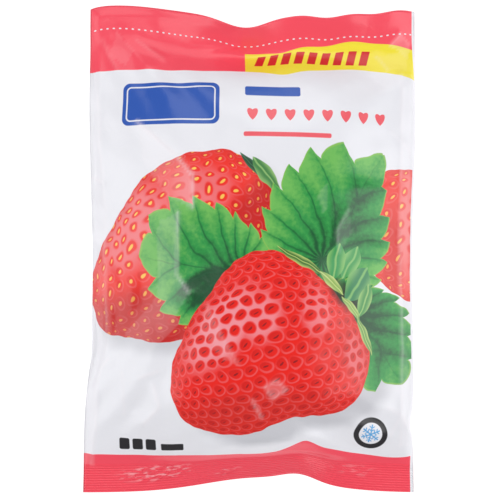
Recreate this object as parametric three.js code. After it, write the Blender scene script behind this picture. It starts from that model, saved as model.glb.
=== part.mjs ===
// A shut pillow bag of frozen strawberries, about one kilogram, lying on its back.
//
// The bag is one tube of printed plastic film, closed by a wide ribbed seal at its bottom edge and
// by a flat header at its top edge. Loose frozen berries fill it, so it is one solid: a low pillow
// that is flat where it rests, lumpy on its upper side, and thin as a fin at both ends.
//
// Millimetres. +X runs across the bag, +Y to its top edge and +Z up. The bag rests on Z = 0, and
// the origin is under the middle of its outline. The numbers in the tables below are laid out
// about the middle of the flat bag, and the last step centres the finished solid.

import * as THREE from "three";

// ---- Driving dimensions ----
const HALF_LENGTH = 171.5; // middle of the bag to its furthest top or bottom corner
const HALF_WIDTH = 115.5; // half the width of the flat film tube
const PILLOW_TOP = 48; // highest point of the smooth pillow, without its lumps
const SEAM_HEIGHT = 17; // height of the widest line of the pillow, half way along its sides
const FIN_THICKNESS = 1.4; // header and seal, where the two films lie together
const SEAL_DEPTH = 26; // furthest point of the bottom edge to the foot of the pillow's end wall
const HEADER_DEPTH = 34.5; // furthest point of the top edge to the valley between header and pillow

// ---- Outline ----
// A wave is a smooth bump of a line: its middle, its height and how far it spreads.
const TOP_EDGE = 167;
const TOP_EDGE_WAVES = [
  { at: -92, height: 4.5, spread: 40 },
  { at: -118, height: -3.5, spread: 8 },
  { at: -14, height: -5.5, spread: 38 },
  { at: -2, height: -9, spread: 20 },
  { at: 55, height: -5.5, spread: 36 },
];
const TOP_RIPPLE = { from: 20, to: 45, crest: 36, length: 35, height: 0.9 };
const BOTTOM_EDGE_WAVES = [
  { at: 8, height: 10.5, spread: 54 },
  { at: 35, height: 5.5, spread: 15 },
];
const SIDE_TAPER = 1.6; // how much narrower the top half is, and how much wider the bottom half
const SIDE_PINCH = { at: -25, height: -4.6, spread: 95 }; // the filled bag draws its sides in
const LEAN = { at: -95, spread: 25, shift: 1.4 }; // the upper part stands a little to the right
const LEFT_DENTS = [{ at: -66, height: 1.6, spread: 16 }];
const RIGHT_DENTS = [{ at: -122, height: -2, spread: 9 }];

// ---- Pillow ----
const PILLOW_LOW = -HALF_LENGTH + SEAL_DEPTH;
const PILLOW_HIGH = HALF_LENGTH - HEADER_DEPTH;
const PILLOW_MIDDLE = (PILLOW_LOW + PILLOW_HIGH) / 2;
const PILLOW_HALF = (PILLOW_HIGH - PILLOW_LOW) / 2;
const END_POWER = 2.6; // how square the pillow is along its length
const END_SHOULDER = 0.5; // how the upper film leaves the fins: less than 1 is a steep wall
const SIDE_POWER = 2; // how square the pillow is across
const SEAM_POWER = 4; // how soon the side seams rise from the height of the fins
const BELLY_POWER = 0.6; // how the lower film leaves the seam
const BELLY_REACH = 1.66; // how soon the lower film reaches the table

// ---- Berries that show as lumps ----
const LUMP_PITCH = 33;
const LUMP_HEIGHT = 2.2;
const LUMP_SPREAD = 15;
const LUMP_JITTER = 0.5;

// ---- Fins ----
const FOOT_HEIGHT = 3.6; // the seal at the foot of the pillow's end wall
const FOOT_WAVES = [
  { at: -25, height: 8, spread: 45 }, // the pillow lifts the middle of the seal's inner end
  { at: 30, height: 9, spread: 40 },
  { at: 35, height: 2, spread: 12 },
];
const SEAL_EDGE_HEIGHT = 2.5; // the seal slopes down to its free edge
const SEAL_EDGE_WAVES = [{ at: 35, height: 2.5, spread: 12 }];
const VALLEY_HEIGHT = 3.6;
const VALLEY_WAVES = [{ at: 0, height: 4.5, spread: 50 }];
const HEADER_EDGE_HEIGHT = 3;
const HEADER_EDGE_WAVES = [
  { at: -14, height: 22, spread: 38 },
  { at: 58, height: 16, spread: 40 },
  { at: 96, height: 5, spread: 14 },
];
const HEADER_RIPPLE_HEIGHT = 1.2;

// ---- Mesh ----
const COLUMNS = 36;
const SEAL_ROWS = 6;
const PILLOW_ROWS = 44;
const HEADER_ROWS = 6;
const ROWS = SEAL_ROWS + PILLOW_ROWS + HEADER_ROWS;
const EDGE_CROWDING = 0.8; // 0 spaces the columns and rows evenly, 1 crowds them to the edges
const FILM_WHITE = 0xeceaf1;

const wave = (x, { at, height, spread }) => height * Math.exp(-(((x - at) / spread) ** 2));
const waves = (x, list) => list.reduce((sum, one) => sum + wave(x, one), 0);
const mix = (a, b, share) => a + (b - a) * share;

function smooth(from, to, x) {
  const share = THREE.MathUtils.clamp((x - from) / (to - from), 0, 1);
  return share * share * (3 - 2 * share);
}

// A number from 0 to 1 that looks random and is always the same for one pair of whole numbers.
function scatter(i, j, salt) {
  const value = Math.sin(i * 127.1 + j * 311.7 + salt * 74.7) * 43758.5453;
  return value - Math.floor(value);
}

// ---- The bag's outline, seen from above ----
const ripple = (x) =>
  smooth(TOP_RIPPLE.from, TOP_RIPPLE.to, x) *
  Math.cos((2 * Math.PI * (x - TOP_RIPPLE.crest)) / TOP_RIPPLE.length);
const topEdge = (x) => TOP_EDGE + waves(x, TOP_EDGE_WAVES) + TOP_RIPPLE.height * ripple(x);
const bottomEdge = (x) => -HALF_LENGTH + waves(x, BOTTOM_EDGE_WAVES);
const middleLine = (y) => LEAN.shift * (0.5 + Math.tanh((y - LEAN.at) / LEAN.spread));
const halfWidth = (y) => HALF_WIDTH - (SIDE_TAPER * y) / HALF_LENGTH + wave(y, SIDE_PINCH);
const leftEdge = (y) => middleLine(y) - halfWidth(y) + waves(y, LEFT_DENTS);
const rightEdge = (y) => middleLine(y) + halfWidth(y) + waves(y, RIGHT_DENTS);

// ---- Heights ----
function sealHeight(x, y) {
  const foot = FOOT_HEIGHT + waves(x, FOOT_WAVES);
  const edge = SEAL_EDGE_HEIGHT + waves(x, SEAL_EDGE_WAVES);
  const share = THREE.MathUtils.clamp((PILLOW_LOW - y) / (PILLOW_LOW - bottomEdge(x)), 0, 1);
  return mix(foot, edge, share);
}

function headerHeight(x, y) {
  const valley = VALLEY_HEIGHT + waves(x, VALLEY_WAVES);
  const edge = HEADER_EDGE_HEIGHT + waves(x, HEADER_EDGE_WAVES) + HEADER_RIPPLE_HEIGHT * ripple(x);
  const share = THREE.MathUtils.clamp((y - PILLOW_HIGH) / (topEdge(x) - PILLOW_HIGH), 0, 1);
  return mix(valley, edge, share);
}

// How full the pillow is along its length and across it: 1 in the middle, 0 at its edges.
function fullness(x, y) {
  const along = Math.min(1, Math.abs((y - PILLOW_MIDDLE) / PILLOW_HALF));
  const across = Math.abs((2 * x - leftEdge(y) - rightEdge(y)) / (rightEdge(y) - leftEdge(y)));
  return { along: 1 - along ** END_POWER, across: 1 - Math.min(1, across) ** SIDE_POWER };
}

function seamHeight(x, y) {
  const along = THREE.MathUtils.clamp((y - PILLOW_MIDDLE) / PILLOW_HALF, -1, 1);
  const fin = mix(sealHeight(x, y), headerHeight(x, y), smooth(-1, 1, along));
  return mix(fin, SEAM_HEIGHT, 1 - Math.abs(along) ** SEAM_POWER);
}

function lumps(x, y) {
  let height = 0;
  const column = Math.round(x / LUMP_PITCH);
  const row = Math.round(y / LUMP_PITCH);
  for (let i = column - 2; i <= column + 2; i += 1) {
    for (let j = row - 2; j <= row + 2; j += 1) {
      const stagger = (((j % 2) + 2) % 2) / 2;
      const atX = (i + stagger + LUMP_JITTER * (scatter(i, j, 1) - 0.5)) * LUMP_PITCH;
      const atY = (j + LUMP_JITTER * (scatter(i, j, 2) - 0.5)) * LUMP_PITCH;
      const distance = Math.hypot(x - atX, y - atY) / LUMP_SPREAD;
      height += LUMP_HEIGHT * (0.4 + 0.6 * scatter(i, j, 3)) * Math.exp(-(distance ** 2));
    }
  }
  return height;
}

function upperHeight(x, y) {
  const { along, across } = fullness(x, y);
  const rise = (PILLOW_TOP - SEAM_HEIGHT) * along ** END_SHOULDER * across;
  const lump = lumps(x, y) * smooth(0, 0.5, along * across);
  return seamHeight(x, y) + FIN_THICKNESS / 2 + rise + lump;
}

function lowerHeight(x, y) {
  const { along, across } = fullness(x, y);
  const drop = Math.min(1, BELLY_REACH * (along * across) ** BELLY_POWER);
  return Math.max(0, seamHeight(x, y) * (1 - drop) - FIN_THICKNESS / 2);
}

// ---- The solid: an upper and a lower sheet of quads, joined by a narrow rim ----
// An even step from 0 to 1, crowded towards both ends.
const crowded = (step) => mix(step, (1 - Math.cos(step * Math.PI)) / 2, EDGE_CROWDING);

// The line that row j follows. One row lies along each foot of the pillow, so that its crease is
// clean.
function rowLine(j, x) {
  if (j < SEAL_ROWS) return mix(bottomEdge(x), PILLOW_LOW, j / SEAL_ROWS);
  const step = (j - SEAL_ROWS) / PILLOW_ROWS;
  if (step <= 1) return mix(PILLOW_LOW, PILLOW_HIGH, crowded(step));
  return mix(topEdge(x), PILLOW_HIGH, (ROWS - j) / HEADER_ROWS);
}

// The point of the outline's own grid at (i, j), found by a few rounds because each side bends.
function planPoint(i, j) {
  let x = 0;
  let y = 0;
  for (let round = 0; round < 6; round += 1) {
    y = rowLine(j, x);
    x = mix(leftEdge(y), rightEdge(y), crowded(i / COLUMNS));
  }
  return [x, y];
}

function bagGeometry() {
  const positions = [];
  const faces = [];
  const perSheet = (COLUMNS + 1) * (ROWS + 1);
  const upper = (i, j) => j * (COLUMNS + 1) + i;
  const lower = (i, j) => perSheet + upper(i, j);
  for (const height of [upperHeight, lowerHeight]) {
    for (let j = 0; j <= ROWS; j += 1) {
      for (let i = 0; i <= COLUMNS; i += 1) {
        const [x, y] = planPoint(i, j);
        positions.push(x, y, height(x, y));
      }
    }
  }
  const quad = (a, b, c, d) => faces.push(a, b, c, a, c, d);
  for (let j = 0; j < ROWS; j += 1) {
    for (let i = 0; i < COLUMNS; i += 1) {
      quad(upper(i, j), upper(i + 1, j), upper(i + 1, j + 1), upper(i, j + 1));
      quad(lower(i, j), lower(i, j + 1), lower(i + 1, j + 1), lower(i + 1, j));
    }
    quad(upper(0, j), upper(0, j + 1), lower(0, j + 1), lower(0, j));
    quad(upper(COLUMNS, j), lower(COLUMNS, j), lower(COLUMNS, j + 1), upper(COLUMNS, j + 1));
  }
  for (let i = 0; i < COLUMNS; i += 1) {
    quad(upper(i, 0), lower(i, 0), lower(i + 1, 0), upper(i + 1, 0));
    quad(upper(i, ROWS), upper(i + 1, ROWS), lower(i + 1, ROWS), lower(i, ROWS));
  }
  const geometry = new THREE.BufferGeometry();
  geometry.setAttribute("position", new THREE.Float32BufferAttribute(positions, 3));
  geometry.setIndex(faces);
  geometry.computeBoundingBox();
  const centre = geometry.boundingBox.getCenter(new THREE.Vector3());
  geometry.translate(-centre.x, -centre.y, -geometry.boundingBox.min.z);
  geometry.computeVertexNormals();
  return geometry;
}

const film = new THREE.MeshStandardMaterial({ color: FILM_WHITE, roughness: 0.32, metalness: 0 });
const bag = new THREE.Mesh(bagGeometry(), film);
bag.name = "bag";

const group = new THREE.Group();
group.add(bag);
export default group;
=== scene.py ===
"""Looks for a shut pillow bag of frozen strawberries that lies on its back.

The bag is one tube of printed film. It starts as the smooth form of its solid, is cut to its flat
size, and is relaxed until the film has that size again, which gives it its creases. The print is
worked out on the flat film, in millimetres, so it folds with the film. Blender's units are metres.
"""

import bpy
import numpy as np
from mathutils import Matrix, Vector


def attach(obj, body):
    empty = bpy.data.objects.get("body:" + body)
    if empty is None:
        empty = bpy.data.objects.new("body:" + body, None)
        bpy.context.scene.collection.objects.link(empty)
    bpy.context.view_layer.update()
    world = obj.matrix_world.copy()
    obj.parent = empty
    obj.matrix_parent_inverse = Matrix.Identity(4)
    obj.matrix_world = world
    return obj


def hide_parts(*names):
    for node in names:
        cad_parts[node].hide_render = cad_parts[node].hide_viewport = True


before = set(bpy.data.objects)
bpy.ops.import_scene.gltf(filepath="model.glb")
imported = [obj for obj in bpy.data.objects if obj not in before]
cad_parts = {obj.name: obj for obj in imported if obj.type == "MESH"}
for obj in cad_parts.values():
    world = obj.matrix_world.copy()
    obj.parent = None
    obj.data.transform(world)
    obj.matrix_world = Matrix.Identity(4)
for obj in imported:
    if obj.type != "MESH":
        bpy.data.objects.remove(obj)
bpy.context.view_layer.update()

MILLIMETRE = 0.001

# ---- The bag's form, in millimetres about the middle of the flat bag ----
# It is the CAD solid's, but a little higher and lumpier, as the film over it smooths it.
HALF_LENGTH = 171.5
HALF_WIDTH = 115.5
PILLOW_TOP = 49.0
SEAM_HEIGHT = 17.0
SEAL_DEPTH = 26.0
HEADER_DEPTH = 34.5

# A wave is a smooth bump of a line: where it is, its height and how far it spreads.
TOP_EDGE = 167.0
TOP_EDGE_WAVES = [(-92, 4.5, 40), (-118, -3.5, 8), (-14, -5.5, 38), (-2, -9, 20), (55, -5.5, 36)]
RIPPLE_FROM = 20.0
RIPPLE_TO = 45.0
RIPPLE_CREST = 36.0
RIPPLE_LENGTH = 35.0
RIPPLE_HEIGHT = 0.9
BOTTOM_EDGE_WAVES = [(8, 10.5, 54), (35, 5.5, 15)]
SIDE_TAPER = 1.6
SIDE_PINCH = [(-25, -4.6, 95)]
LEAN_AT = -95.0
LEAN_SPREAD = 25.0
LEAN_SHIFT = 1.4
LEFT_DENTS = [(-66, 1.6, 16)]
RIGHT_DENTS = [(-122, -2, 9)]

PILLOW_LOW = -HALF_LENGTH + SEAL_DEPTH
PILLOW_HIGH = HALF_LENGTH - HEADER_DEPTH
PILLOW_MIDDLE = (PILLOW_LOW + PILLOW_HIGH) / 2
PILLOW_HALF = (PILLOW_HIGH - PILLOW_LOW) / 2
END_POWER = 2.6
END_SHOULDER = 0.5
FOOT_SOFTNESS = 0.08
SIDE_POWER = 2.0
SEAM_POWER = 4.0
BELLY_POWER = 0.6
BELLY_REACH = 1.66

LUMP_PITCH = 33.0
LUMP_HEIGHT = 5.5
LUMP_SPREAD = 15.0
LUMP_JITTER = 0.5
LUMP_LOWEST = 0.4  # as a share of the highest
LUMP_FADE = (0.05, 0.5)  # how full the pillow is where the lumps start and are full

FOOT_HEIGHT = 3.6
FOOT_WAVES = [(-25, 8, 45), (30, 9, 40), (35, 2, 12)]
SEAL_EDGE_HEIGHT = 2.5
SEAL_EDGE_WAVES = [(35, 2.5, 12)]
VALLEY_HEIGHT = 3.6
VALLEY_WAVES = [(0, 4.5, 50)]
HEADER_EDGE_HEIGHT = 3.0
HEADER_EDGE_WAVES = [(-14, 22, 38), (58, 16, 40), (96, 5, 14)]
HEADER_RIPPLE_HEIGHT = 1.2

# ---- The film: its flat size, and how it is relaxed ----
FILM_WIDTH = 236.0  # between the two side folds
FILM_LENGTH = 353.0
FILM_GAP = 0.4  # between the two films in the seal and in the header
SEAL_FILM = 20.5
HEADER_FILM = 13.0
HEADER_OPENING = 21.0  # over which the header lets go of the two films
SIDE_TAKE_UP = 0.02  # share of its length that the film loses to fine puckers at its side folds
COARSE_COLUMNS = 34  # from side fold to side fold; each level halves the spacing
COARSE_ROWS = 50
LEVEL_STEPS = (900, 500, 40)
GLIDE = 0.9  # share of its speed that a point keeps
FORM_PULL = 0.001  # how strongly the filling holds the film to the bag's form
EDGE_PULL = 0.5
SEAM_PULL = 0.05
SHEAR_STIFFNESS = 0.6
BEND_STIFFNESS = 0.35
FASTEST = 1.5
FORM_SAG = 1.0
START_NOISE = 0.3
NOISE_SEED = 5
START_ROUNDS = 8
FIN_SAMPLES = 800
GOAL_EVERY = 10  # steps between two readings of the form under each point
IRON_ROUNDS = 12
IRON_TO = 0.93  # how far out from the middle the film is ironed in full
BENDS = [(317.0, 15.0), (31.0, 9.0)]  # where header and seal leave the pillow, and how wide that is
BEND_ROUNDS = 60

# Flat facets of handled film, and the folds that stay in it: the line of each on the flat film,
# its height, how far it spreads, and how strong a painted highlight it has along it, partly the film's
# stress whitening.
FACET_SIZE = 27.0
FACET_HEIGHT = 2.2
LEFT_CREASE = [(-112, 302), (-109, 257), (-106, 225), (-107, 169), (-105, 112), (-110, 80),
               (-109, 50), (-112, 20)]
RIGHT_CREASE = [(105, 304), (106, 213), (107, 142), (107, 76), (108, 56), (107, 36)]
FOLDS = [
    (LEFT_CREASE, 1.1, 3.5, 0.3),
    (RIGHT_CREASE, 1.1, 3.5, 0.3),
    ([(-81, 266), (-52, 241), (-40, 227), (-40, 205)], 1.4, 5, 0.8),
    ([(-50, 202), (-51, 160), (-42, 148)], 1.2, 5, 0.6),
    ([(-109, 329), (-104, 316), (-98, 305)], 1.0, 4, 0.15),
    ([(-99, 334), (-76, 307)], 1.5, 4.5, 0.0),
    ([(-85, 328), (-65, 315)], 1.2, 4, 0.15),
    ([(-30, 324), (-11, 336)], 1.2, 5, 0.0),
    ([(88, 320), (96, 308)], 1.0, 3.5, 0.3),
    ([(99, 329), (106, 337)], 1.0, 4, 0.3),
    ([(-116, 228), (-106, 224)], 1.4, 3, 0.5),
    ([(-108, 92), (-103, 100)], 0.9, 3, 0.5),
    ([(-90, 91), (-88, 61)], 0.9, 5, 0.3),
    ([(-77, 88), (-64, 93)], 0.9, 3.5, 0.5),
    ([(-67, 83), (-62, 68), (-73, 55)], 1.0, 4, 0.5),
    ([(97, 66), (107, 60), (100, 45)], 1.0, 3.5, 0.4),
    ([(107, 60), (114, 50)], 1.0, 3, 0.4),
    ([(98, 262), (113, 248)], 1.0, 4, 0.3),
    ([(-30, 140), (-20, 120), (-8, 100)], 0.8, 4, 0.25),
    ([(10, 84), (18, 89), (25, 82), (15, 75), (10, 84)], 0.6, 3, 0.3),
    ([(66, 205), (58, 190), (60, 176)], 0.7, 4, 0.2),
    ([(2, 74), (8, 62)], 0.7, 3, 0.5),
]
FOLD_SHEEN_AND_WHITENING_WIDTH = 1.3  # how wide the painted highlight along a fold is, which is partly the film's stress whitening
SIDE_FADE = (1.0, 7.0)  # how far from the side folds the relief starts and is full
END_FADE = 8.0  # over which it fades in from the seal and from the top edge

# Painted reflections of the lights in the film's facets and side strips: the corners on the flat film,
# and how strong the painted reflection is.
PAINTED_REFLECTIONS = [
    ([(-119, 304), *LEFT_CREASE, (-119, 20)], 0.3),
    ([(119, 304), *RIGHT_CREASE, (119, 36)], 0.3),
    ([(-81, 266), (-52, 241), (-40, 227), (-40, 205), (-58, 214), (-76, 236)], 0.4),
    ([(-50, 202), (-51, 160), (-42, 148), (-54, 128), (-66, 150), (-64, 196)], 0.3),
    ([(-90, 118), (-62, 148), (-48, 128), (-70, 106)], 0.25),
    ([(-30, 140), (-20, 120), (-8, 100), (-20, 104), (-34, 124)], 0.3),
    ([(10, 84), (18, 89), (25, 82), (15, 75)], 0.5),
    ([(66, 205), (58, 190), (60, 176), (70, 190)], 0.15),
    ([(44, 214), (52, 224), (50, 200)], 0.3),
    ([(98, 329), (106, 337), (114, 330), (112, 316)], 0.5),
    ([(-104, 316), (-99, 334), (-86, 320), (-92, 308)], 0.2),
    ([(88, 320), (96, 308), (114, 306), (112, 324)], 0.2),
]

# ---- The ribbed seal ----
RIB_PITCH = 1.75
RIB_DEPTH = 0.24
RIB_FADE = (1.2, 1.5)  # over which they fade at the bottom edge and at the seal's upper end
RIB_ROW = 0.35  # spacing of the mesh's rows in the seal, and above it
PLAIN_ROW = 1.75

# The layout for baking: front and back side by side, and the rims in strips below them.
BAKE_SIDE = 480.0
BAKE_GAP = 2.5


def waves(x, table):
    return sum(height * np.exp(-(((x - at) / spread) ** 2)) for at, height, spread in table)


def mix(a, b, share):
    return a + (b - a) * share


def smooth(low, high, x):
    share = np.clip((x - low) / (high - low), 0, 1)
    return share * share * (3 - 2 * share)


def scatter(i, j, salt):
    """A number from 0 to 1 that looks random and is always the same for one i and j."""
    value = np.sin(i * 127.1 + j * 311.7 + salt * 74.7) * 43758.5453
    return value - np.floor(value)


def ripple(x):
    return smooth(RIPPLE_FROM, RIPPLE_TO, x) * np.cos(2 * np.pi * (x - RIPPLE_CREST) / RIPPLE_LENGTH)


def top_edge(x):
    return TOP_EDGE + waves(x, TOP_EDGE_WAVES) + RIPPLE_HEIGHT * ripple(x)


def bottom_edge(x):
    return -HALF_LENGTH + waves(x, BOTTOM_EDGE_WAVES)


def middle_line(y):
    return LEAN_SHIFT * (0.5 + np.tanh((y - LEAN_AT) / LEAN_SPREAD))


def half_width(y):
    return HALF_WIDTH - SIDE_TAPER * y / HALF_LENGTH + waves(y, SIDE_PINCH)


def left_edge(y):
    return middle_line(y) - half_width(y) + waves(y, LEFT_DENTS)


def right_edge(y):
    return middle_line(y) + half_width(y) + waves(y, RIGHT_DENTS)


def seal_height(x, y):
    """From the foot of the pillow's end wall out to the free edge of the ribbed seal."""
    foot = FOOT_HEIGHT + waves(x, FOOT_WAVES)
    edge = SEAL_EDGE_HEIGHT + waves(x, SEAL_EDGE_WAVES)
    share = np.clip((PILLOW_LOW - y) / (PILLOW_LOW - bottom_edge(x)), 0, 1)
    return mix(foot, edge, share)


def header_height(x, y):
    valley = VALLEY_HEIGHT + waves(x, VALLEY_WAVES)
    edge = HEADER_EDGE_HEIGHT + waves(x, HEADER_EDGE_WAVES) + HEADER_RIPPLE_HEIGHT * ripple(x)
    share = np.clip((y - PILLOW_HIGH) / (top_edge(x) - PILLOW_HIGH), 0, 1)
    return mix(valley, edge, share)


def fullness(x, y):
    """How full the pillow is along its length and across it: 1 in the middle, 0 at its edges."""
    along = np.minimum(1, np.abs((y - PILLOW_MIDDLE) / PILLOW_HALF))
    across = np.abs((2 * x - left_edge(y) - right_edge(y)) / (right_edge(y) - left_edge(y)))
    return 1 - along**END_POWER, 1 - np.minimum(1, across) ** SIDE_POWER


def seam_height(x, y):
    along = np.clip((y - PILLOW_MIDDLE) / PILLOW_HALF, -1, 1)
    fin = mix(seal_height(x, y), header_height(x, y), smooth(-1, 1, along))
    return mix(fin, SEAM_HEIGHT, 1 - np.abs(along) ** SEAM_POWER)


def lumps(x, y):
    """The berries under the film, on a staggered grid."""
    height = np.zeros_like(x)
    columns = int(HALF_WIDTH / LUMP_PITCH) + 2
    rows = int(HALF_LENGTH / LUMP_PITCH) + 2
    for i in range(-columns, columns + 1):
        for j in range(-rows, rows + 1):
            at_x = (i + (j % 2) / 2 + LUMP_JITTER * (scatter(i, j, 1) - 0.5)) * LUMP_PITCH
            at_y = (j + LUMP_JITTER * (scatter(i, j, 2) - 0.5)) * LUMP_PITCH
            away = ((x - at_x) ** 2 + (y - at_y) ** 2) / LUMP_SPREAD**2
            height += LUMP_HEIGHT * mix(LUMP_LOWEST, 1, scatter(i, j, 3)) * np.exp(-away)
    return height


def upper_height(x, y):
    along, across = fullness(x, y)
    rounded = along / (along + FOOT_SOFTNESS) ** (1 - END_SHOULDER)
    rise = (PILLOW_TOP - SEAM_HEIGHT) * rounded * across - FORM_SAG
    return seam_height(x, y) + rise + lumps(x, y) * smooth(*LUMP_FADE, along * across)


def lower_height(x, y):
    along, across = fullness(x, y)
    drop = np.minimum(1, BELLY_REACH * (along * across) ** BELLY_POWER)
    return np.maximum(0, seam_height(x, y) * (1 - drop))


# ---- The film tube ----
# Points are an array of 3 coordinates by rows, from the bottom edge up, by columns, which go once
# round the tube: over the front from the left fold to the right one, then back under the bag.
class Tube:
    """The grid of the film at one spacing."""

    def __init__(self, columns, rows):
        self.columns = columns
        self.rows = rows
        around = np.arange(2 * columns)
        self.front = around <= columns
        self.across = np.where(self.front, -1 + 2 * around / columns, 3 - 2 * around / columns)
        self.along = np.linspace(0, 1, rows + 1)
        self.fold = around % columns == 0

    def start(self):
        x = np.tile(self.across * HALF_WIDTH, (self.rows + 1, 1))
        for _ in range(START_ROUNDS):
            y = mix(bottom_edge(x), top_edge(x), self.along[:, None])
            x = mix(left_edge(y), right_edge(y), (1 + self.across) / 2)
        z = np.where(self.front, upper_height(x, y), lower_height(x, y))
        uneven = np.random.default_rng(NOISE_SEED).normal(0, START_NOISE, z.shape)
        return np.stack([x, y, z + uneven])

    def fin(self, edge, height, lengths, inward):
        """A flat end of the bag, whose rows lie at these lengths down its slope from the edge."""
        x = np.linspace(left_edge(edge(0)), right_edge(edge(0)), FIN_SAMPLES)
        line = np.stack([x, edge(x), height(x, edge(x))])
        distance = np.concatenate([[0], np.cumsum(np.linalg.norm(np.diff(line), axis=0))])
        wanted = np.linspace(0, distance[-1], self.columns + 1)
        start_x, start_y, start_z = (np.interp(wanted, distance, values) for values in line)
        slope = (height(start_x, start_y + inward) - start_z) / inward
        y = start_y + inward * lengths[:, None] / np.hypot(1, slope)
        z = start_z + slope * (y - start_y)
        share = (start_x - left_edge(start_y)) / (right_edge(start_y) - left_edge(start_y))
        front = np.stack([mix(left_edge(y), right_edge(y), share), y, z])
        whole = np.concatenate([front, front[:, :, -2:0:-1]], axis=2)
        whole[2] += 0.5 * FILM_GAP * np.where(self.fold, 0, np.where(self.front, 1, -1))
        return whole


def hold_length(a, b, kept, stiffness=1.0):
    """Moves pairs of points towards the distance that the film keeps them at."""
    gap = b - a
    distance = np.sqrt(gap[0] ** 2 + gap[1] ** 2 + gap[2] ** 2)
    move = gap * (0.5 * stiffness * (1 - kept / distance))
    a += move
    b -= move


def hold_film(points, width, height):
    """One round over all the film's lengths: across, along, both diagonals, and its bending."""
    hold_length(points[:, :, 0::2], points[:, :, 1::2], width)
    hold_length(points[:, :, 1:-1:2], points[:, :, 2::2], width)
    hold_length(points[:, :, -1:], points[:, :, :1], width)
    hold_length(points[:, 0:-1:2], points[:, 1::2], height)
    hold_length(points[:, 1:-1:2], points[:, 2::2], height)
    diagonal = np.hypot(width, height)
    for first in (0, 1):
        below = points[:, first:-1:2]
        above = points[:, first + 1 :: 2]
        hold_length(below[:, :, :-1], above[:, :, 1:], diagonal[:-1], SHEAR_STIFFNESS)
        hold_length(below[:, :, 1:], above[:, :, :-1], diagonal[:-1], SHEAR_STIFFNESS)
    hold_length(points[:, :, :-2], points[:, :, 2:], 2 * width, BEND_STIFFNESS)
    hold_length(points[:, :-2], points[:, 2:], 2 * height, BEND_STIFFNESS)


def keep_apart(height, columns):
    """Parts the front film from the back film wherever they would pass through each other."""
    front = height[:, 1:columns]
    back = height[:, :columns:-1]
    overlap = np.maximum(0, FILM_GAP - front + back)
    front += 0.5 * overlap
    back -= 0.5 * overlap


def relax(points, tube, steps):
    """Lets the film take a shape with its flat lengths that the filling and its two fins allow."""
    film = tube.along * FILM_LENGTH
    sealed = film <= SEAL_FILM
    header = film >= FILM_LENGTH - HEADER_FILM - HEADER_OPENING
    hold = smooth(-HEADER_FILM - HEADER_OPENING, -HEADER_FILM, film[header] - FILM_LENGTH)
    hold = hold[:, None] ** 2
    height = FILM_LENGTH / tube.rows * (1 - SIDE_TAKE_UP * tube.across**6)
    bottom_fin = tube.fin(bottom_edge, seal_height, film[sealed], 1)
    top_fin = tube.fin(top_edge, header_height, FILM_LENGTH - film[header], -1)
    speed = np.zeros_like(points)
    for step in range(steps):
        if step % GOAL_EVERY == 0:
            x, y, _ = points
            goal = np.where(tube.front, upper_height(x, y), lower_height(x, y))
        before = points.copy()
        points += GLIDE * speed
        points[2] += FORM_PULL * (goal - points[2])
        for column, edge in ((0, left_edge), (tube.columns, right_edge)):
            x, y, z = points[:, :, column]
            points[0, :, column] += EDGE_PULL * (edge(y) - x)
            points[2, :, column] += SEAM_PULL * (seam_height(x, y) - z)
        hold_film(points, FILM_WIDTH / tube.columns, height)
        keep_apart(points[2], tube.columns)
        points[2] = np.maximum(points[2], 0)
        points[:, sealed] = bottom_fin
        points[:, header] += hold * (top_fin - points[:, header])
        speed = np.clip(points - before, -FASTEST, FASTEST)
    return points


def between(points, axis):
    """The values half way between neighbours along an axis, by a cubic through four of them."""
    near = points + np.roll(points, -1, axis)
    far = np.roll(points, 1, axis) + np.roll(points, -2, axis)
    return (9 * near - far) / 16


def refine(points, tube):
    """The same film on a grid of half the spacing."""
    middles = between(points, 2)
    straight = 0.5 * (points + np.roll(points, -1, 2))
    for column in (0, -1, tube.columns, tube.columns - 1):  # no curve round the side folds
        middles[:, :, column] = straight[:, :, column]
    wider = np.stack([points, middles], axis=3).reshape(3, tube.rows + 1, -1)
    ends = 2 * wider[:, [0, -1]] - wider[:, [1, -2]]
    padded = np.concatenate([ends[:, :1], wider, ends[:, 1:]], axis=1)
    rows = np.stack([padded, between(padded, 1)], axis=2).reshape(3, -1, wider.shape[2])
    return rows[:, 2:-3]


def relaxed_film():
    """The film's points on its finest grid."""
    tube = Tube(COARSE_COLUMNS, COARSE_ROWS)
    points = relax(tube.start(), tube, LEVEL_STEPS[0])
    for steps in LEVEL_STEPS[1:]:
        points = refine(points, tube)
        tube = Tube(2 * tube.columns, 2 * tube.rows)
        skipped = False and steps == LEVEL_STEPS[-1]
        points = relax(points, tube, 0 if skipped else steps)
    return iron(points, tube), tube


def iron(points, tube):
    """Takes the shortest ripples out of the film and eases its bends at the header and the seal."""
    share = 0.5 * smooth(1, IRON_TO, np.abs(tube.across))
    for _ in range(IRON_ROUNDS):
        beside = 0.5 * (np.roll(points, 1, 2) + np.roll(points, -1, 2))
        points = mix(points, beside, share)
        iron_along(points, share)
    film = tube.along[1:-1, None] * FILM_LENGTH
    bends = sum(np.exp(-(((film - at) / spread) ** 2)) for at, spread in BENDS)
    for _ in range(BEND_ROUNDS):
        iron_along(points, 0.5 * bends)
    return points


def iron_along(points, share):
    points[:, 1:-1] = mix(points[:, 1:-1], 0.5 * (points[:, 2:] + points[:, :-2]), share)


def facets(s, t):
    """Flat triangles between random heights; soft waves keep their edges from lining up."""
    u = (s + 7 * np.sin(t / 31) + 4 * np.sin(s / 17 + t / 23)) / FACET_SIZE
    v = (t + 8 * np.sin(s / 29 + 1) + 4 * np.sin(t / 19 - s / 37)) / FACET_SIZE
    i, j = np.floor(u), np.floor(v)
    u, v = u - i, v - j
    a, b = scatter(i, j, 4), scatter(i + 1, j, 4)
    c, d = scatter(i, j + 1, 4), scatter(i + 1, j + 1, 4)
    low = a + u * (b - a) + v * (c - a)
    high = d + (1 - u) * (c - d) + (1 - v) * (b - d)
    return np.where(u + v < 1, low, high)


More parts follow.
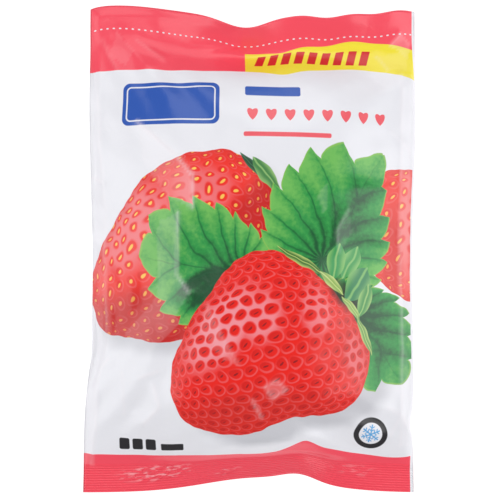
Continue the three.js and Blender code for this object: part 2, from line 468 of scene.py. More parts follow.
def distance_to_line(s, t, line):
    nearest = np.full(s.shape, np.inf)
    for (s0, t0), (s1, t1) in zip(line, line[1:]):
        over, up = s1 - s0, t1 - t0
        share = np.clip(((s - s0) * over + (t - t0) * up) / (over**2 + up**2), 0, 1)
        nearest = np.minimum(nearest, np.hypot(s - s0 - share * over, t - t0 - share * up))
    return nearest


def within(s, t, corners):
    """Which places lie inside a closed outline."""
    inner = np.zeros(s.shape, dtype=bool)
    for (s0, t0), (s1, t1) in zip(corners, corners[1:] + corners[:1]):
        if t0 != t1:
            crossing = s0 + (t - t0) * (s1 - s0) / (t1 - t0)
            inner ^= ((t0 > t) != (t1 > t)) & (s < crossing)
    return inner


def sheen_and_whitening(s, t):
    """The painted highlight along each fold, which is partly the film's stress whitening, and the
    painted reflections.
    """
    fold_sheen_and_whitening = np.zeros(s.shape)
    for line, _, _, fold_sheen_and_whitening_strength in FOLDS:
        away = distance_to_line(s, t, line) / FOLD_SHEEN_AND_WHITENING_WIDTH
        fold_sheen_and_whitening = np.maximum(fold_sheen_and_whitening, fold_sheen_and_whitening_strength * np.exp(-away * away))
    painted_reflection = np.zeros(s.shape)
    for corners, strength in PAINTED_REFLECTIONS:
        painted_reflection = np.maximum(painted_reflection, strength * within(s, t, corners))
    return np.stack([fold_sheen_and_whitening, painted_reflection], axis=-1)


def crease(points, s, t):
    """Raises the film's facets and folds out of it, but leaves the side folds and the seal alone."""
    relief = FACET_HEIGHT * facets(s, t)
    for line, rise, spread, _ in FOLDS:
        relief += rise * np.exp(-distance_to_line(s, t, line) / spread)
    half = FILM_WIDTH / 2
    from_middle = np.abs((s + half) % FILM_WIDTH - half)
    relief *= smooth(half - SIDE_FADE[0], half - SIDE_FADE[1], from_middle)
    seal_end, top_end = SEAL_FILM + END_FADE, FILM_LENGTH - END_FADE
    relief *= smooth(SEAL_FILM, seal_end, t) * smooth(FILM_LENGTH, top_end, t)
    around = np.roll(points, -1, 2) - np.roll(points, 1, 2)
    outward = np.cross(around, np.gradient(points, axis=1), axis=0)
    return points + relief * outward / np.linalg.norm(outward, axis=0)


def resample_rows(points, rows):
    """The film at any rows, given as fractional row numbers, by a cubic through four rows."""
    low = np.clip(rows.astype(int), 1, points.shape[1] - 3)
    t = (rows - low)[:, None]
    a, b, c, d = (points[:, low + shift] for shift in (-1, 0, 1, 2))
    return b + 0.5 * t * (c - a + t * (2 * a - 5 * b + 4 * c - d + t * (3 * (b - c) + d - a)))


def film_rows():
    """How far up the film the mesh's rows are: close in the ribbed seal, wider above it."""
    ribbed = np.arange(0, SEAL_FILM, RIB_ROW)
    plain = np.linspace(SEAL_FILM, FILM_LENGTH, round((FILM_LENGTH - SEAL_FILM) / PLAIN_ROW))
    return np.concatenate([ribbed, plain])


def add_ribs(points, up):
    fade = smooth(0, RIB_FADE[0], up) * smooth(SEAL_FILM, SEAL_FILM - RIB_FADE[1], up)
    points[2] += (RIB_DEPTH * fade * np.cos(2 * np.pi * up / RIB_PITCH))[:, None]


def set_down(points):
    """Rests the film on the floor, with the middle of its outline over the origin."""
    points[2] = np.maximum(points[2], 0)
    points[2] -= points[2].min()
    for axis in (0, 1):
        points[axis] -= (points[axis].max() + points[axis].min()) / 2


def tube_faces(rows, around):
    """Faces all round the tube, then those of the two rims, which join the front to the back."""
    grid = np.arange(rows * around).reshape(rows, around)
    low, high = grid[:-1], grid[1:]
    sides = np.stack([low, np.roll(low, -1, 1), np.roll(high, -1, 1), high], axis=2).reshape(-1, 4)
    rims = []
    for row, order in ((grid[0], 1), (grid[-1], -1)):
        for k in range(around // 2):
            rim = [row[k], row[-k % around], row[-(k + 1) % around], row[k + 1]][::order]
            rims.append(list(dict.fromkeys(map(int, rim))))
    return [list(map(int, face)) for face in sides] + rims, np.concatenate(rims)


def film_mesh():
    """The film bag, with its places on the film in millimetres, its painted sheen and whitening, and a
    bake layout.
    """
    points, tube = relaxed_film()
    up = film_rows()
    points = resample_rows(points, up / FILM_LENGTH * tube.rows)
    add_ribs(points, up)
    # Places on the film run on round the tube, so the left fold has the lowest and the highest.
    over = np.arange(2 * tube.columns + 1) / tube.columns * FILM_WIDTH - FILM_WIDTH / 2
    s, t = np.meshgrid(over[:-1], up)
    points = crease(points, s, t)
    set_down(points)
    faces, rims = tube_faces(*s.shape)
    mesh = bpy.data.meshes.new("film_bag")
    mesh.from_pydata((points.reshape(3, -1).T * MILLIMETRE).tolist(), [], faces)
    mesh.shade_smooth()
    add_film_layouts(mesh, over, up, rims)
    sheen_and_whitening_per_corner = sheen_and_whitening(s, t).reshape(-1, 2)[np.concatenate(faces)]
    add_layout(mesh, "sheen_and_whitening", sheen_and_whitening_per_corner[:, 0], sheen_and_whitening_per_corner[:, 1])
    return mesh


def add_film_layouts(mesh, over, up, rims):
    """Where each face's corners are on the film, and in the layout for baking."""
    around, spaces = len(over) - 1, len(up) - 1
    left, right = np.tile(over[:-1], spaces), np.tile(over[1:], spaces)
    below, above = np.repeat(up[:-1], around), np.repeat(up[1:], around)
    film_u = np.stack([left, right, right, left], axis=1).ravel()
    film_v = np.stack([below, below, above, above], axis=1).ravel()
    middle = np.zeros(rims.size)
    past_edge = np.full(rims.size, -1.0)  # so that the rims are pink
    add_layout(mesh, "film", np.append(film_u, middle), np.append(film_v, past_edge))
    on_back = film_u.reshape(-1, 4).mean(axis=1).repeat(4) > FILM_WIDTH / 2
    bake_u = film_u + FILM_WIDTH / 2 + BAKE_GAP * on_back
    bake_v = film_v + 3 * BAKE_GAP
    row, column = np.divmod(rims, around)
    rim_u = np.minimum(column, around - column) / (around // 2) * FILM_WIDTH
    rim_v = BAKE_GAP * (row > 0) + (column > around // 2)
    places = (np.append(bake_u, rim_u), np.append(bake_v, rim_v))
    add_layout(mesh, "OFBake", *((place + BAKE_GAP) / BAKE_SIDE for place in places))


def add_layout(mesh, name, u, v):
    places = np.stack([u, v], axis=1).astype(np.float32)
    mesh.uv_layers.new(name=name).data.foreach_set("uv", places.ravel())


def add_object(name, data):
    thing = bpy.data.objects.new(name, data)
    bpy.context.scene.collection.objects.link(thing)
    return thing


def build_bag(material):
    bag = add_object("film_bag", film_mesh())
    bag.data.materials.append(material)
    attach(bag, "root")
    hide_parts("bag")


# ---- Drawing with shader nodes ----
def reckoner(operation):
    return lambda *values: reckon(operation, *values)


class Field:
    """A number, a place or a colour at each point of the film; numbers can be reckoned with."""

    tree = None  # the node tree that is being drawn in

    def __init__(self, socket):
        self.socket = socket

    def __rsub__(self, other):
        return reckon("SUBTRACT", other, self)

    __add__ = __radd__ = reckoner("ADD")
    __mul__ = __rmul__ = reckoner("MULTIPLY")
    __sub__ = reckoner("SUBTRACT")
    __truediv__ = reckoner("DIVIDE")
    __pow__ = reckoner("POWER")
    __abs__ = reckoner("ABSOLUTE")


def add_node(kind, inputs, **settings):
    """A shader node with its settings, and a plain value or a Field in each of its inputs."""
    node = Field.tree.nodes.new("ShaderNode" + kind)
    for name, value in settings.items():
        setattr(node, name, value)
    for name, value in inputs.items():
        if isinstance(value, Field):
            Field.tree.links.new(value.socket, node.inputs[name])
        else:
            node.inputs[name].default_value = value
    return node


def reckon(operation, *values):
    return Field(add_node("Math", dict(enumerate(values)), operation=operation).outputs[0])


def reckon_place(operation, *values):
    return Field(add_node("VectorMath", dict(enumerate(values)), operation=operation).outputs[0])


def ramp(low, high, x):
    """A smooth step from 0 at low to 1 at high, which may also be the lower number."""
    inputs = {"Value": x, "From Min": low, "From Max": high}
    return Field(add_node("MapRange", inputs, interpolation_type="SMOOTHSTEP").outputs[0])


def blend(a, b, share, kind="RGBA"):
    inputs = {"Factor": share, "A": a, "B": b}
    return Field(add_node("Mix", inputs, data_type=kind).outputs["Result"])


larger = reckoner("MAXIMUM")
smaller = reckoner("MINIMUM")


def off_whole(x):
    """How far a number is above or below the nearest whole one."""
    return reckon("WRAP", x, 0.5, -0.5)


def pair(a, b):
    return Field(add_node("CombineXYZ", {"X": a, "Y": b}).outputs[0])


def apart(place):
    node = add_node("SeparateXYZ", {0: place})
    return Field(node.outputs["X"]), Field(node.outputs["Y"])


def about(place, middle, degrees=0.0, size=(1.0, 1.0)):
    """A place as seen from another one: along and across a direction, in units of a size."""
    inputs = {
        "Vector": place,
        "Location": (*middle, 0),
        "Rotation": (0, 0, np.radians(degrees)),
        "Scale": (*size, 1),
    }
    return Field(add_node("Mapping", inputs, vector_type="TEXTURE").outputs[0])


def length(place):
    return Field(add_node("VectorMath", {0: place}, operation="LENGTH").outputs["Value"])


def polar(place):
    """Distance, and direction as a share of a turn: 0.5 is straight on, and it grows to the left."""
    along, across = apart(place)
    turn = reckon("MULTIPLY_ADD", reckon("ARCTAN2", across, along), 0.5 / np.pi, 0.5)
    return length(place), turn


def noise(place, size, detail=2.0, output=0):
    """Soft random values about 0.5 in blotches of this size: one, or three from output 1."""
    inputs = {"Vector": place, "Scale": 1 / size, "Detail": detail}
    return Field(add_node("TexNoise", inputs, noise_dimensions="2D").outputs[output])


def film_map(name):
    """The pair of values that one of the mesh's layouts holds."""
    return Field(add_node("UVMap", {}, uv_map=name).outputs[0])


def paint(red, green, blue):
    """A colour as it looks on a screen, from 0 to 255, as Blender's linear colour."""
    shares = (channel / 255 for channel in (red, green, blue))
    linear = (v / 12.92 if v <= 0.04045 else ((v + 0.055) / 1.055) ** 2.4 for v in shares)
    return (*linear, 1.0)


def inside(distance):
    """1 where a distance to an outline, in millimetres, is below 0."""
    return ramp(SOFT_EDGE, -SOFT_EDGE, distance)


def box(place, middle, half, corner=0.5):
    """The distance to a rectangle with round corners."""
    off = reckon_place("ABSOLUTE", about(place, middle))
    off = reckon_place("SUBTRACT", off, (half[0] - corner, half[1] - corner, 0))
    return length(reckon_place("MAXIMUM", off, (0, 0, 0))) - corner


def in_row(place, start, pitch):
    """A place as seen from the nearest point of a row of points."""
    return reckon_place("WRAP", about(place, start), (pitch / 2, 999, 1), (-pitch / 2, -999, -1))


def field_waves(x, table):
    """The same bumps as in waves, as a field."""
    total = 0
    for at, height, spread in table:
        share = (x - at) * (1 / spread)
        total = reckon("EXPONENT", share * share * -1) * height + total
    return total


def spot(place, look):
    """A soft ellipse: its strength in the middle, 0 from its rim on."""
    middle, radii, degrees, strength = look
    return ramp(1.0, 0.4, length(about(place, middle, degrees, radii))) * strength


def spots(place, looks):
    total = spot(place, looks[0])
    for look in looks[1:]:
        total = larger(spot(place, look), total)
    return total


def outline_radius(turn, outline):
    """A closed outline's radius by direction; its points are (degrees to the left, millimetres)."""
    node = add_node("FloatCurve", {"Value": turn})
    scale = 1.2 * max(radius for _, radius in outline)
    curve = node.mapping.curves[0]
    for index, (degrees, radius) in enumerate([*outline, (180, outline[0][1])]):
        place = (degrees / 360 + 0.5, radius / scale)
        if index < len(curve.points):
            curve.points[index].location = place
        else:
            curve.points.new(*place)
    node.mapping.update()
    return Field(node.outputs[0]) * scale


# ---- The print: a generic design, in millimetres on the flat film ----
# Across, 0 is the middle of the front; along, 0 is the bottom edge.
SOFT_EDGE = 0.25
WHITE = paint(232, 232, 238)
# The pale colour of the painted highlights, reflections and glints on the film, and of its stress
# whitening along the folds.
SHEEN_AND_WHITENING_COLOUR = paint(250, 240, 244)
PINK = paint(246, 78, 96)
# The ribbed seal's darker pink: partly the welded film's own deeper colour, partly painted shade
# between the ribs.
SEAL_PINK_AND_RIB_SHADE = paint(243, 72, 90)
YELLOW = paint(241, 225, 58)
BLUE = paint(42, 86, 176)
DARK_RED = paint(206, 36, 36)
LIGHT_RED = paint(238, 96, 106)
INK = paint(38, 36, 40)
SKY_BLUE = paint(96, 168, 222)
TABLE_GREY = paint(120, 120, 128)

FILM_ROUGHNESS = 0.24
GRAIN_SIZE = 7.0  # fine unevenness of the film
GRAIN_HEIGHT = 0.16
CRINKLE_SIZE = 5.0  # crinkles in the seal, which also carry painted glints
CRINKLE_HEIGHT = 1.4
CRINKLE_LIE = (25, (1.0, 0.45))  # turn in degrees, stretch
GLINT_SIZE = 3.0
GLINT_LIE = (6, (2.6, 0.7))
GLINT_RANGE = (0.5, 0.66)  # of the noise, from no glint to a full one
CRINKLES = [((-66, 13), (34, 8), 4, 1.0), ((-16, 9), (12, 4), 10, 0.6), ((76, 14), (22, 6), -4, 0.35)]

# How much a fold's painted highlight, which is partly stress whitening, a painted reflection and a
# painted glint lighten the print.
FOLD_SHEEN_AND_WHITENING_SHARE = 0.4
REFLECTION_SHARE = 0.24
GLINT_SHARE = 0.3

# A box has a middle, half a size and a corner radius. A row has a first place, a pitch, the box or
# the heart's size that it repeats, and a larger box that it shows in.
TOP_BAND = 304.5  # where the pink of the header starts
TOP_BAND_RISE = [(72, 4, 28), (118, -4, 16), (22, -3, 10)]
BOTTOM_BAND = 28.2  # where the pink of the seal ends
BOTTOM_BAND_RISE = [(37, 13.5, 11), (55, 5, 16), (0, -2.6, 20), (102, -2.4, 18)]
YELLOW_BAND = ((60.4, 316.4), (65.0, 12.1))
TEAR_LINE = 336.5
TEAR_PITCH = 4.4
TEAR_DASH = ((0, 0), (0.8, 0.45), 0.4)
PRINT_RIGHT = 115.6  # the print stops a little before the right fold
FOLD_STEP = 0.01  # over which the front's print gives way to the back's at the right fold

SLANT_MIDDLE = (43, 318.5)
SLANT = 0.25
SLANT_ROW = ((0, 0), 9.2, ((0, 0), (2.9, 6.2)), ((0, 0), (41.4, 9)))
BLOCK_ROW = ((-88.3, 37.5), 9.5, ((0, 0), (3.7, 4.6), 1.4), ((-78.8, 37.5), (14.2, 6)))
BOXES = [
    (BLUE, ((-57.5, 278.5), (35, 15.5), 5)),
    (BLUE, ((14, 287), (19, 3.6), 1.4)),
    (LIGHT_RED, ((24, 255.5), (30, 1.6), 1.2)),
    (INK, ((-54, 36), (8, 3.0), 1.0)),
]
KEYLINE = ((-57.5, 278.5), (31.8, 12.3), 3)
KEYLINE_HALF = 0.5
HEART_ROW = ((0, 269), 12.8, 3.7, ((44.8, 270), (51.2, 9)))

RING = ((85.5, 46), 20, (1, 1.1))  # middle, turn in degrees, stretch
RING_RADIUS = 10.2
RING_HALF = 1.9
ARM_LENGTH = 7.0
ARM_HALF = 0.5
ARM_FORKS = (2.6, 4.6)
BRANCH_REACH = 1.9  # to the side
BRANCH_HALF = 0.4

BACK_MIDDLE = (FILM_WIDTH, 170)
BACK_TABLE = ((0, 0), (64, 60), 2)
BACK_FRAME_HALF = 0.35
BACK_RULE_PITCH = 12
BACK_RULE = ((0, 0), (0.25, 63), 0.1)
BACK_BAR = ((0, 78), (64, 7), 1.5)

# Outlines give a radius for a direction: 0 is to the right, 90 up, -90 down, -180 to the left.
# Spots and shades are soft ellipses: middle, radii, turn in degrees, strength.
FRONT_BERRY = {
    "middle": (14, 108),
    "outline": [(-180, 65), (-159, 73), (-144, 76), (-130, 73), (-114, 66), (-96, 56), (-76, 49),
                (-62, 52), (-48, 60), (-30, 68), (-10, 69), (10, 65), (32, 60), (54, 60), (74, 64),
                (94, 69), (110, 67), (125, 61), (145, 57), (165, 60)],
    "pitch": (10.4, 9.6),
    "lean": 12,
    "jitter": 6.0,
    "bulge": 0.3,
    "dimple": (4.7, 4.1),
    "dimple_edge": (0.86, 1.1),
    "flesh": paint(236, 30, 20),
    "deep": paint(212, 42, 34),
    "hollow": paint(184, 22, 24),
    "veil": paint(242, 146, 154),
    "seed": paint(150, 22, 28),
    "seed_shape": (0.42, 0.14),
    "shadow": ((16, -8), 0.45),
    "deep_spots": [((4, 56), (84, 34), 8, 0.8), ((72, 118), (16, 40), 0, 0.5)],
    "veil_spots": [((-19, 124), (46, 22), 52, 1.0), ((6, 132), (20, 24), 0, 0.85),
                   ((44, 136), (13, 24), 10, 0.65), ((72, 104), (9, 24), 10, 0.5)],
}
BACK_BERRY = {
    "middle": (-52, 172),
    "outline": [(-180, 61), (-165, 68), (-149, 76), (-140, 78), (-127, 70), (-107, 61), (-83, 56),
                (-55, 58), (-21, 61), (10, 65), (32, 78), (48, 83), (62, 81), (76, 74), (97, 65),
                (115, 58), (138, 52), (160, 54)],
    "pitch": (12.8, 11.0),
    "lean": 28,
    "jitter": 9.0,
    "bulge": 0.35,
    "dimple": (5.0, 4.4),
    "dimple_edge": (0.66, 1.2),
    "flesh": paint(240, 46, 36),
    "deep": paint(196, 30, 28),
    "hollow": paint(208, 26, 26),
    "veil": paint(238, 134, 140),
    "seed": paint(252, 198, 88),
    "seed_shape": (0.44, 0.27),
    "shadow": ((8, -7), 0.4),
    "deep_spots": [((4, 196), (26, 52), -30, 0.9), ((-66, 124), (84, 34), 0, 1.0)],
    "veil_spots": [((-84, 192), (30, 48), -38, 0.8), ((-34, 218), (30, 20), 0, 0.6)],
}
SIDE_BERRY = BACK_BERRY | {
    "middle": (118, 190),
    "outline": [(-180, 40), (-111, 46), (-90, 50), (0, 40), (90, 46), (110, 48), (119, 49), (135, 44)],
    "pitch": (12.6, 10.8),
    "bulge": 0.3,
    "dimple": (4.8, 4.2),
    "flesh": paint(236, 64, 56),
    "deep": paint(204, 44, 42),
    "hollow": paint(216, 40, 38),
    "veil": paint(240, 140, 140),
    "deep_spots": [((100, 170), (12, 50), 0, 0.6)],
    "veil_spots": [((112, 200), (8, 50), 0, 0.7)],
}
BERRY_SHADOW = paint(150, 150, 158)
LIGHT_FROM = 130  # the direction that the picture is lit from
HOLLOW = 0.45  # strength of a dimple's dark side, and what deep flesh adds to it
DEEP_HOLLOW = 0.4
GLEAM = 0.28  # strength of the gleam on a dimple's edge, and what deep flesh takes from it
DEEP_GLEAM = 0.12
DEEP_SEED = 0.5
SEED_LEAN = 30
BERRY_RIM = 0.4
DIMPLE_WAVER = 24.0
PICTURE_WAVER = (14.0, 3.5)  # size and reach of the whole picture's unevenness

# A leaf's outline is about its base, where 0 degrees is the way that the leaf points.
LEFT_LEAF = {
    "base": (-8, 161),
    "heading": 172,
    "length": 72,
    "outline": [(-180, 25), (-107, 32), (-82, 40), (-62, 53), (-48, 64), (-34, 74), (-18, 77), (0, 72),
                (16, 67), (32, 62), (51, 54), (80, 40), (120, 30)],
    "shade": ((-30, 150), (34, 18), 20, 0.65),
}
TOP_LEAF = {
    "base": (48, 170),
    "heading": 60,
    "length": 86,
    "outline": [(-180, 30), (-110, 40), (-62, 49), (-34, 58), (-14, 68), (0, 88), (9, 84), (26, 83),
                (42, 74), (58, 65), (88, 51), (110, 43)],
    "shade": ((88, 204), (46, 40), 60, 0.45),
}
LOW_LEAF = {
    "base": (68, 140),
    "heading": -55,
    "length": 71,
    "outline": [(-180, 20), (-60, 45), (-25, 64), (-16, 66), (-5, 70), (6, 72), (20, 64), (37, 52),
                (47, 48), (54, 41), (64, 36), (76, 27), (100, 22)],
    "shade": ((88, 118), (70, 80), 0, 0.4),
}
LOBE = 26.0  # how far a leaf's lobes are apart, in degrees at the base
FAN = 60.0  # how much of that direction a vein loses by starting further up the midrib
NOTCH = 0.15  # depth of the notches between the lobes, as a share of the radius
LOBE_SHIFT = 0.12  # how far a lobe's tip is from its vein, as a share of a lobe
# What the distance from a vein, the grain and the leaf as a whole add to its tone.
VEIN_TONE = 0.7
GRAIN_TONE = 0.5
LEAF_TONE = 0.15
LEAF_GRAIN = 3.0
VEIN_SHARE = 0.55
LEAF_RIM_SHARE = 0.75
LEAF_DARK = paint(10, 74, 38)
LEAF_GREEN = paint(44, 150, 70)
LEAF_LIGHT = paint(112, 186, 90)
LEAF_RIM = paint(146, 190, 88)
LEAF_VEIN = paint(12, 84, 46)
SHADE = paint(40, 22, 18)
SEPAL_SHADE = ((63, 147), (26, 8), -48, 0.7)

# Small leaves: base, tip, width, colour of the rim and the midrib, colour between them.
PETALS = [
    ((-8, 243), (12, 222), 5, (60, 112, 76), (34, 74, 52)),
    ((0, 240), (20, 214), 10, (140, 184, 112), (72, 132, 74)),
]
SEPALS = [
    ((62, 157), (75, 180), 13, (134, 190, 112), (70, 156, 84)),
    ((55, 156), (61, 183), 14, (130, 188, 104), (44, 148, 74)),
    ((66, 142), (82, 166), 17, (128, 184, 110), (60, 134, 88)),
    ((75, 130), (82, 155), 9, (150, 194, 116), (80, 150, 84)),
    ((17, 180), (50, 160), 6, (178, 200, 112), (70, 116, 54)),
    ((46, 163), (64, 147), 6, (200, 214, 136), (140, 176, 88)),
    ((63, 146), (77, 128), 5, (196, 212, 134), (136, 176, 92)),
    ((74, 133), (84, 104), 5, (188, 208, 130), (108, 156, 84)),
]


def waver(place, size, reach):
    """Moves places a little, by soft random steps, so that what is drawn there is uneven."""
    drift = reckon_place("SUBTRACT", noise(place, size, 1.0, output=1), (0.5, 0.5, 0.5))
    return reckon_place("MULTIPLY_ADD", drift, (reach, reach, 0.0), place)


def draw_shadow(place, under, look):
    """A soft shadow that a berry throws on the white ground below itself."""
    shift, strength = look["shadow"]
    middle = (look["middle"][0] + shift[0], look["middle"][1] + shift[1])
    distance, turn = polar(about(place, middle))
    share = distance / outline_radius(turn, look["outline"])
    return blend(under, BERRY_SHADOW, ramp(1.12, 0.9, share) * strength)


def nearest_dimple(place, look):
    """A place as seen from the middle of the nearest of the staggered dimples, in its radii."""
    uneven = waver(place, DIMPLE_WAVER, look["jitter"])
    seen = about(uneven, (0, 0), look["lean"], look["dimple"])
    half = (look["pitch"][0] / look["dimple"][0] / 2, look["pitch"][1] / look["dimple"][1])
    low = (-half[0], -half[1], -1)
    even = reckon_place("WRAP", seen, (*half, 1), low)
    odd = reckon_place("WRAP", about(seen, half), (*half, 1), low)
    nearer = reckon("LESS_THAN", length(odd), length(even))
    return blend(even, odd, nearer, "VECTOR")


def draw_berry(place, under, look):
    """A ripe berry: dimples with a seed each, crowded towards its outline, and a glossy net."""
    away = about(place, look["middle"])
    distance, turn = polar(away)
    share = distance / outline_radius(turn, look["outline"])
    swell = share**4 * look["bulge"] + 1
    off = nearest_dimple(reckon_place("MULTIPLY", away, swell), look)
    dimple = length(off)
    deep = spots(place, look["deep_spots"])
    veil = spots(place, look["veil_spots"])
    away_from_light = apart(about(off, (0, 0), LIGHT_FROM - 180))[0]
    colour = blend(look["flesh"], look["deep"], deep)
    colour = blend(colour, look["veil"], veil * ramp(*look["dimple_edge"], dimple))
    shade = ramp(1.0, 0.6, dimple) * ramp(0.9, -0.9, away_from_light)
    colour = blend(colour, look["hollow"], shade * (deep * DEEP_HOLLOW + HOLLOW))
    crescent = ramp(-1.3, 0.7, away_from_light) * ramp(0.24, 0.04, abs(dimple - 0.96))
    colour = blend(colour, look["veil"], crescent * (GLEAM - deep * DEEP_GLEAM))
    seed = ramp(1.2, 0.7, length(about(off, (0, 0), SEED_LEAN, look["seed_shape"])))
    colour = blend(colour, look["seed"], seed * (1 - deep * DEEP_SEED))
    colour = blend(colour, look["deep"], ramp(0.86, 1.02, share) * BERRY_RIM)
    return blend(under, colour, ramp(1.004, 0.996, share))


def draw_leaf(place, under, look):
    """A broad leaf with pointed lobes, each at the end of a vein that curves out of the midrib."""
    seen = about(place, look["base"], look["heading"])
    distance, turn = polar(seen)
    along, across = apart(seen)
    bearing = abs(turn - 0.5) * 360
    row = (bearing + FAN - along * (FAN / look["length"])) * (1 / LOBE)
    phase = reckon("FRACT", row + LOBE_SHIFT)
    lobe = smaller(phase * 8, (1 - phase) ** 0.6)
    reach = outline_radius(turn, look["outline"]) * (lobe * NOTCH + (1 - NOTCH))
    share = distance / reach
    grain = noise(place, LEAF_GRAIN)
    off_vein = abs(off_whole(row))
    tone = share + off_vein * VEIN_TONE + grain * GRAIN_TONE + LEAF_TONE - spot(place, look["shade"])
    colour = blend(LEAF_DARK, LEAF_GREEN, ramp(0.4, 1.15, tone))
    colour = blend(colour, LEAF_LIGHT, ramp(1.0, 1.7, tone))
    spread = distance * float(np.radians(LOBE) * 0.6)
    vein = smaller(off_vein * spread, abs(across))
    drawn = ramp(0.8, 0.1, vein) * ramp(1.05, 0.6, share)
    colour = blend(colour, LEAF_VEIN, drawn * VEIN_SHARE)
    colour = blend(colour, LEAF_RIM, ramp(1.5, 0.3, reach - distance) * LEAF_RIM_SHARE)
    return blend(under, colour, inside(distance - reach))


def draw_petal(place, under, base, tip, width, light, dark):
    """A small pointed leaf with a pale rim and midrib."""
    over, up = tip[0] - base[0], tip[1] - base[1]
    size = (float(np.hypot(over, up)), width / 2)
    along, across = apart(about(place, base, float(np.degrees(np.arctan2(up, over))), size))
    half = along * (1 - along) * 4
    off = abs(across)
    pale = larger(ramp(0.25, 1.0, off), ramp(0.16, 0.04, off))
    soft = SOFT_EDGE / size[1]
    colour = blend(paint(*dark), paint(*light), pale)
    return blend(under, colour, ramp(soft, -soft, off - half))


def draw_picture(place, under):
    """Ripe berries with their leaves, laid over each other from the back to the front."""
    place = waver(place, *PICTURE_WAVER)
    picture = under
    for berry in (BACK_BERRY, FRONT_BERRY):
        picture = draw_shadow(place, picture, berry)
    for berry in (BACK_BERRY, SIDE_BERRY):
        picture = draw_berry(place, picture, berry)
    for petal in PETALS:
        picture = draw_petal(place, picture, *petal)
    for leaf in (LEFT_LEAF, TOP_LEAF, LOW_LEAF):
        picture = draw_leaf(place, picture, leaf)
    picture = draw_berry(place, picture, FRONT_BERRY)
    picture = blend(picture, SHADE, spot(place, SEPAL_SHADE))
    for petal in SEPALS:
        picture = draw_petal(place, picture, *petal)
    return picture


def draw_bands(place, s, t, front):
    """White film with its pink ends, the yellow band, and the tear line."""
    low_rise = field_waves(s, BOTTOM_BAND_RISE) * front
    top_rise = field_waves(s, TOP_BAND_RISE) * front
    pink = larger(inside(t - BOTTOM_BAND - low_rise), inside(TOP_BAND - t + top_rise))
    # The seal's darker pink is partly painted shade between its ribs.
    colour = blend(WHITE, blend(PINK, SEAL_PINK_AND_RIB_SHADE, inside(t - SEAL_FILM)), pink)
    band = pair(s, t - top_rise)
    colour = blend(colour, YELLOW, inside(box(band, *YELLOW_BAND)) * front)
    dashes = inside(box(in_row(place, (0, TEAR_LINE), TEAR_PITCH), *TEAR_DASH))
    return blend(colour, WHITE, dashes)


def row_of_boxes(place, first, pitch, shape, shown):
    return inside(box(in_row(place, first, pitch), *shape)) * inside(box(place, *shown))


def row_of_hearts(place, first, pitch, size, shown):
    """A heart is a circle whose halves are pushed up."""
    over, up = apart(in_row(place, first, pitch))
    over = abs(over)
    heart = length(pair(over, up - over * 0.75)) - size
    return inside(heart) * inside(box(place, *shown))


def draw_shapes(place, under):
    """Plain shapes: slanted bars, a panel with a keyline, bars, hearts, blocks, and a ring."""
    along, across = apart(about(place, SLANT_MIDDLE))
    slant = pair(along - across * SLANT, across)
    colour = blend(under, DARK_RED, row_of_boxes(slant, *SLANT_ROW))
    for fill, shape in BOXES:
        colour = blend(colour, fill, inside(box(place, *shape)))
    colour = blend(colour, WHITE, inside(abs(box(place, *KEYLINE)) - KEYLINE_HALF))
    colour = blend(colour, LIGHT_RED, row_of_hearts(place, *HEART_ROW))
    colour = blend(colour, INK, row_of_boxes(place, *BLOCK_ROW))
    return draw_freezer_ring(place, colour)


def draw_freezer_ring(place, under):
    """A dark ring round a snow crystal with six arms, whose branches leave them at 60 degrees."""
    distance, turn = polar(about(place, *RING))
    colour = blend(under, INK, inside(abs(distance - RING_RADIUS) - RING_HALF))
    angle = off_whole(turn * 6) * (np.pi / 3)
    along = distance * reckon("COSINE", angle)
    across = abs(distance * reckon("SINE", angle))
    crystal = inside(larger(across - ARM_HALF, along - ARM_LENGTH))
    for fork in ARM_FORKS:
        branch = abs(across * 0.5 - (along - fork) * 0.866) - BRANCH_HALF
        crystal = larger(crystal, inside(larger(branch, across - BRANCH_REACH)))
    return blend(colour, SKY_BLUE, crystal)


def draw_back(place, under):
    """The back's plain table: a frame with ruled lines under a pink bar."""
    place = about(place, BACK_MIDDLE)
    edge = box(place, *BACK_TABLE)
    rules = box(in_row(about(place, (0, 0), 90), (0, 0), BACK_RULE_PITCH), *BACK_RULE)
    lines = larger(inside(abs(edge) - BACK_FRAME_HALF), inside(larger(rules, edge)))
    colour = blend(under, TABLE_GREY, lines)
    return blend(colour, PINK, inside(box(place, *BACK_BAR)))


def film_colour(place):
    """The print of both sides, lightened by painted highlights along the folds, which are partly
    stress whitening, by painted reflections and by painted glints on the seal.
    """
    s, t = apart(place)
    front = ramp(FILM_WIDTH / 2 + FOLD_STEP, FILM_WIDTH / 2 - FOLD_STEP, s)
    bands = draw_bands(place, s, t, front)
    printed = ramp(PRINT_RIGHT + SOFT_EDGE, PRINT_RIGHT - SOFT_EDGE, s)
    picture = blend(WHITE, draw_shapes(place, draw_picture(place, bands)), printed)
    colour = blend(draw_back(place, bands), picture, front)
    # The mesh carries the painted highlights along the folds, partly stress whitening, and the painted
    # reflections.
    fold_sheen_and_whitening, painted_reflection = apart(film_map("sheen_and_whitening"))
    # Painted glints in streaks on the seal's crinkles.
    streaks = noise(about(place, (0, 0), *GLINT_LIE), GLINT_SIZE)
    glints = ramp(*GLINT_RANGE, streaks) * spots(place, CRINKLES) * front
    paleness = fold_sheen_and_whitening * FOLD_SHEEN_AND_WHITENING_SHARE + painted_reflection * REFLECTION_SHARE + glints * GLINT_SHARE
    return blend(colour, SHEEN_AND_WHITENING_COLOUR, paleness)


def fine_relief(place):
    """The film's relief that is too fine for its mesh, in millimetres."""
    grain = noise(place, GRAIN_SIZE, 3.0) * GRAIN_HEIGHT
    crinkle = noise(about(place, (0, 0), *CRINKLE_LIE), CRINKLE_SIZE) * CRINKLE_HEIGHT
    return crinkle * spots(place, CRINKLES) + grain


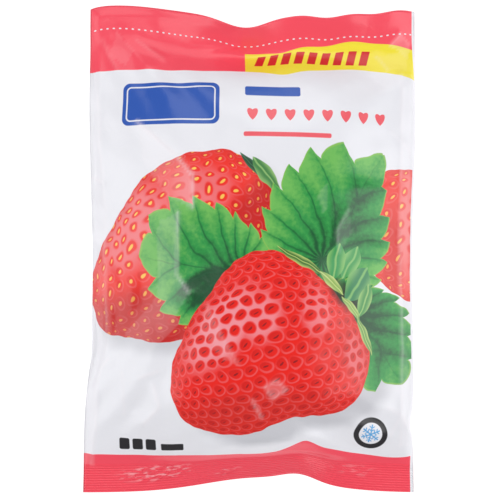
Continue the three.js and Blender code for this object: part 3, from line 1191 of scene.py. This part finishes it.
def new_material(name, look):
    """A material with these values on its shader, and that shader."""
    material = bpy.data.materials.new(name)
    material.use_nodes = True
    shader = material.node_tree.nodes["Principled BSDF"]
    for socket, value in look.items():
        shader.inputs[socket].default_value = value
    return material, shader


def film_material():
    material, shader = new_material("printed_film", {"Roughness": FILM_ROUGHNESS})
    Field.tree = material.node_tree
    place = film_map("film")
    Field.tree.links.new(film_colour(place).socket, shader.inputs["Base Color"])
    bump = add_node("Bump", {"Height": fine_relief(place), "Distance": MILLIMETRE, "Strength": 1.0})
    Field.tree.links.new(bump.outputs["Normal"], shader.inputs["Normal"])
    return material


# ---- Scene ----
FLOOR_SIZE = 6.0
FLOOR_LOOK = {
    "Base Color": (0.4, 0.4, 0.4, 1),
    "Roughness": 0.9,
    "Emission Color": (1, 1, 1, 1),
    "Emission Strength": 0.8,
}
WORLD_LIGHT = 0.33
LIGHTS = [  # name, place, size, power in watts; each one faces the bag
    ("left_light", (-1.25, -0.15, 0.9), (1.7, 1.3), 13.0),
    ("right_light", (1.25, -0.25, 0.9), (1.7, 1.3), 15.0),
    ("top_light", (0, 1.3, 1.2), (1.6, 1.0), 8.0),
    ("high_light", (-0.4, 0.3, 1.6), (0.4, 0.4), 0.8),
]


def build_floor():
    bpy.ops.mesh.primitive_plane_add(size=FLOOR_SIZE)
    floor = bpy.context.object
    floor.name = "floor"
    floor.data.materials.append(new_material("floor", FLOOR_LOOK)[0])


def add_softbox(name, place, size, power):
    data = bpy.data.lights.new(name, "AREA")
    data.shape = "RECTANGLE"
    data.size, data.size_y = size
    data.energy = power
    light = add_object(name, data)
    light.location = place
    light.rotation_euler = (Vector((0, 0, 0)) - Vector(place)).to_track_quat("-Z", "Y").to_euler()


def build_lights():
    for light in LIGHTS:
        add_softbox(*light)
    world = bpy.data.worlds.new("studio")
    world.use_nodes = True
    background = world.node_tree.nodes["Background"]
    background.inputs["Color"].default_value = (1, 1, 1, 1)
    background.inputs["Strength"].default_value = WORLD_LIGHT
    bpy.context.scene.world = world


PHOTO_SIDE = 500  # pixels
PHOTO_SCALE = 0.7  # millimetres in one pixel
SCALE_HEIGHT = 0.01  # metres up, where a pixel shows just that: about where the bag's outline is
CAMERA_HEIGHT = 1.2
CAMERA_MIDDLE = (0.9, -0.7)  # the middle of the photo, in millimetres from the bag's middle
SENSOR = 36.0


def build_camera():
    data = bpy.data.cameras.new("camera")
    data.sensor_width = SENSOR
    data.lens = SENSOR * (CAMERA_HEIGHT - SCALE_HEIGHT) / (PHOTO_SIDE * PHOTO_SCALE * MILLIMETRE)
    camera = add_object("camera", data)
    camera.location = (CAMERA_MIDDLE[0] * MILLIMETRE, CAMERA_MIDDLE[1] * MILLIMETRE, CAMERA_HEIGHT)
    bpy.context.scene.camera = camera


build_camera()
build_floor()
build_lights()
build_bag(film_material())
bpy.context.scene.view_settings.view_transform = "Standard"
